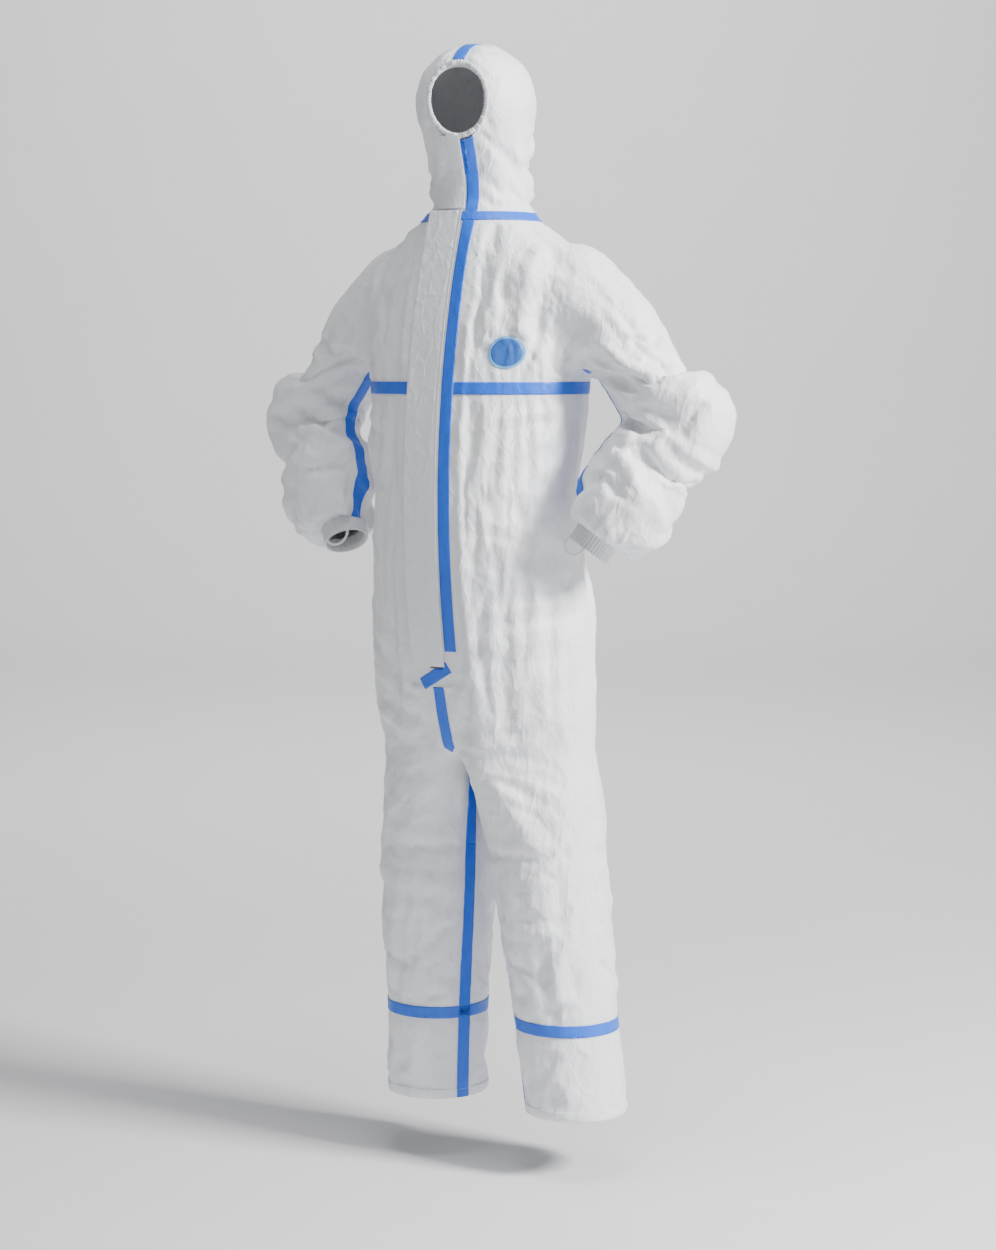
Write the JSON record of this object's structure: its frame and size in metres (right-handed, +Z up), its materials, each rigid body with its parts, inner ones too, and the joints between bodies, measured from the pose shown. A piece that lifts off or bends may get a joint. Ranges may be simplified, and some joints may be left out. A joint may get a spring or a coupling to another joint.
{
  "type": "chemical protective suit",
  "caption": "Hooded one-piece protective coverall in its worn shape, with taped seams, flapped front zip and elastic cuffs with thumb loops.",
  "frame": {"origin": "centre of the neck seam, where the suit hangs on the wearer's neck and shoulders", "axes": "+X to the wearer's left, -Y to the front, +Z up to the crown of the hood"},
  "size_m": [0.887, 0.3312, 1.7628],
  "materials": {
    "suit_fabric": "matt spun-bonded, finely creased",
    "seam_tape": "satin welded film over cloth",
    "zip_teeth": "white nylon coil",
    "zip_cloth": "woven polyester tape",
    "zip_metal": "white lacquer",
    "elastic_binding": "gathered bound edge",
    "thumb_elastic": "round knitted elastic",
    "badge": "plain printed patch",
    "release_paper": "waxed paper strip"
  },
  "bodies": {
    "torso": {"bodice_back": "suit_fabric", "bodice_front_left": "suit_fabric", "bodice_front_right": "suit_fabric", "body_back": "suit_fabric", "body_front_left": "suit_fabric", "body_front_right": "suit_fabric", "chest_seam_tape": "seam_tape", "collar": "suit_fabric", "crotch_seam_tape": "seam_tape", "flap_adhesive_strip": "release_paper", "flap_end_tape": "seam_tape", "flap_seam_tape": "seam_tape", "left_seat_panel": "suit_fabric", "left_shoulder_panel": "suit_fabric", "neck_seam_tape": "seam_tape", "right_seat_panel": "suit_fabric", "right_shoulder_panel": "suit_fabric", "seat_seam_tape": "seam_tape", "size_badge": "badge", "waist_elastic": "elastic_binding", "zip_coils": "zip_teeth", "zip_stops": "zip_teeth", "zip_tapes": "zip_cloth"},
    "hood": {"chin_seam_tape": "seam_tape", "crown_seam_tape": "seam_tape", "face_elastic": "elastic_binding", "hood_left_panel": "suit_fabric", "hood_right_panel": "suit_fabric"},
    "chin_flap": {"chin_flap": "suit_fabric"},
    "storm_flap": {"storm_flap": "suit_fabric"},
    "zip_slider": {"zip_slider": "zip_metal"},
    "zip_pull": {"zip_pull": "zip_metal"},
    "left_upper_arm": {"left_elbow_panel": "suit_fabric", "left_underarm_tape_upper": "seam_tape", "left_upper_sleeve": "suit_fabric"},
    "left_forearm": {"left_cuff_elastic": "elastic_binding", "left_lower_sleeve": "suit_fabric", "left_underarm_tape_lower": "seam_tape"},
    "left_thumb_loop": {"left_thumb_loop": "thumb_elastic"},
    "right_upper_arm": {"right_elbow_panel": "suit_fabric", "right_underarm_tape_upper": "seam_tape", "right_upper_sleeve": "suit_fabric"},
    "right_forearm": {"right_cuff_elastic": "elastic_binding", "right_lower_sleeve": "suit_fabric", "right_underarm_tape_lower": "seam_tape"},
    "right_thumb_loop": {"right_thumb_loop": "thumb_elastic"},
    "left_thigh": {"left_inseam_tape_thigh": "seam_tape", "left_knee_panel": "suit_fabric", "left_thigh_panel": "suit_fabric"},
    "left_shin": {"left_ankle_panel": "suit_fabric", "left_inseam_tape_shin": "seam_tape", "left_leg_seam_tape": "seam_tape", "left_shin_panel": "suit_fabric"},
    "right_thigh": {"right_inseam_tape_thigh": "seam_tape", "right_knee_panel": "suit_fabric", "right_thigh_panel": "suit_fabric"},
    "right_shin": {"right_ankle_panel": "suit_fabric", "right_inseam_tape_shin": "seam_tape", "right_leg_seam_tape": "seam_tape", "right_shin_panel": "suit_fabric"}
  },
  "joints": [
    {"name": "hood_turn", "type": "hinge", "parent": "torso", "child": "hood", "pos_m": [0, -0.01887, 0.03], "axis": [0, 0, 1], "range_deg": [-45, 45], "deforming": ["collar"]},
    {"name": "chin_flap_open", "type": "hinge", "parent": "hood", "child": "chin_flap", "pos_m": [0.02123, -0.10433, 0.06], "axis": [0, 0, 1], "range_deg": [0, 27]},
    {"name": "storm_flap_open", "type": "hinge", "parent": "torso", "child": "storm_flap", "pos_m": [0.019, -0.18477, -0.3676], "axis": [0, 0.0756, 0.9971], "range_deg": [0, 100]},
    {"name": "zip_travel", "type": "hinge", "parent": "torso", "child": "zip_slider", "pos_m": [0, 1.217, -0.47], "axis": [1, 0, 0], "range_deg": [0, 27.75]},
    {"name": "zip_pull_swing", "type": "hinge", "parent": "zip_slider", "child": "zip_pull", "pos_m": [0, -0.11455, -0.03583], "axis": [-1, 0, 0], "range_deg": [0, 7]},
    {"name": "left_shoulder_raise", "type": "hinge", "parent": "torso", "child": "left_upper_arm", "pos_m": [0.19, 0, -0.11], "axis": [0, -1, 0], "range_deg": [0, 75], "deforming": ["left_shoulder_panel"]},
    {"name": "left_elbow_straighten", "type": "hinge", "parent": "left_upper_arm", "child": "left_forearm", "pos_m": [0.355, 0.01, -0.345], "axis": [0.3277, -0.9253, 0.1907], "range_deg": [0, 70], "deforming": ["left_elbow_panel"]},
    {"name": "left_thumb_loop_swing", "type": "hinge", "parent": "left_forearm", "child": "left_thumb_loop", "pos_m": [0.23354, -0.10582, -0.53091], "axis": [-0.8745, 0.2495, 0.4159], "range_deg": [-60, 60]},
    {"name": "left_hip_swing", "type": "hinge", "parent": "torso", "child": "left_thigh", "pos_m": [0.097, -0.03, -0.76], "axis": [-1, 0, 0], "range_deg": [-15, 60], "deforming": ["left_seat_panel", "crotch_seam_tape"]},
    {"name": "left_knee_bend", "type": "hinge", "parent": "left_thigh", "child": "left_shin", "pos_m": [0.13108, 0.002, -1.15], "axis": [1, 0, 0], "range_deg": [0, 90], "deforming": ["left_knee_panel"]},
    {"name": "right_shoulder_raise", "type": "hinge", "parent": "torso", "child": "right_upper_arm", "pos_m": [-0.19, 0, -0.11], "axis": [0, 1, 0], "range_deg": [0, 75], "deforming": ["right_shoulder_panel"]},
    {"name": "right_elbow_straighten", "type": "hinge", "parent": "right_upper_arm", "child": "right_forearm", "pos_m": [-0.355, 0.01, -0.345], "axis": [0.3277, 0.9253, -0.1907], "range_deg": [0, 70], "deforming": ["right_elbow_panel"]},
    {"name": "right_thumb_loop_swing", "type": "hinge", "parent": "right_forearm", "child": "right_thumb_loop", "pos_m": [-0.23354, -0.10582, -0.53091], "axis": [-0.8745, -0.2495, -0.4159], "range_deg": [-60, 60]},
    {"name": "right_hip_swing", "type": "hinge", "parent": "torso", "child": "right_thigh", "pos_m": [-0.097, -0.03, -0.76], "axis": [-1, 0, 0], "range_deg": [-15, 60], "deforming": ["right_seat_panel"]},
    {"name": "right_knee_bend", "type": "hinge", "parent": "right_thigh", "child": "right_shin", "pos_m": [-0.09966, 0.002, -1.15], "axis": [1, 0, 0], "range_deg": [0, 90], "deforming": ["right_knee_panel"]}
  ]
}
